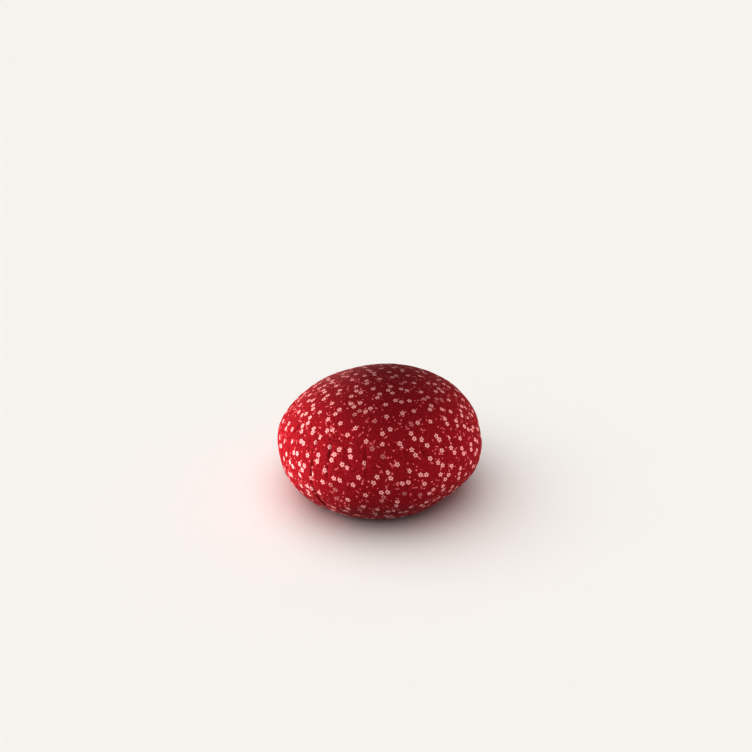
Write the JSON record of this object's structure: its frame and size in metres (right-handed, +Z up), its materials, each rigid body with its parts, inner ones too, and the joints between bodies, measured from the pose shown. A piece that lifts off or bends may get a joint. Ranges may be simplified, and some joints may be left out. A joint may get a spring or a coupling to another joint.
{
  "type": "zafu meditation cushion",
  "caption": "Plump round zafu floor cushion for sitting meditation, with domed panels, a pleated side band and a small blossom print on red cotton.",
  "frame": {"origin": "middle of the cushion's box at floor level, on the flat foot", "axes": "+Z up; the side seen in the picture faces -Y, with +X to its right"},
  "size_m": [0.3481, 0.3493, 0.2039],
  "materials": {
    "printed_cotton": "matte red cotton with a small pale blossom print"
  },
  "bodies": {
    "root": {"zafu_cushion": "printed_cotton"}
  },
  "joints": []
}
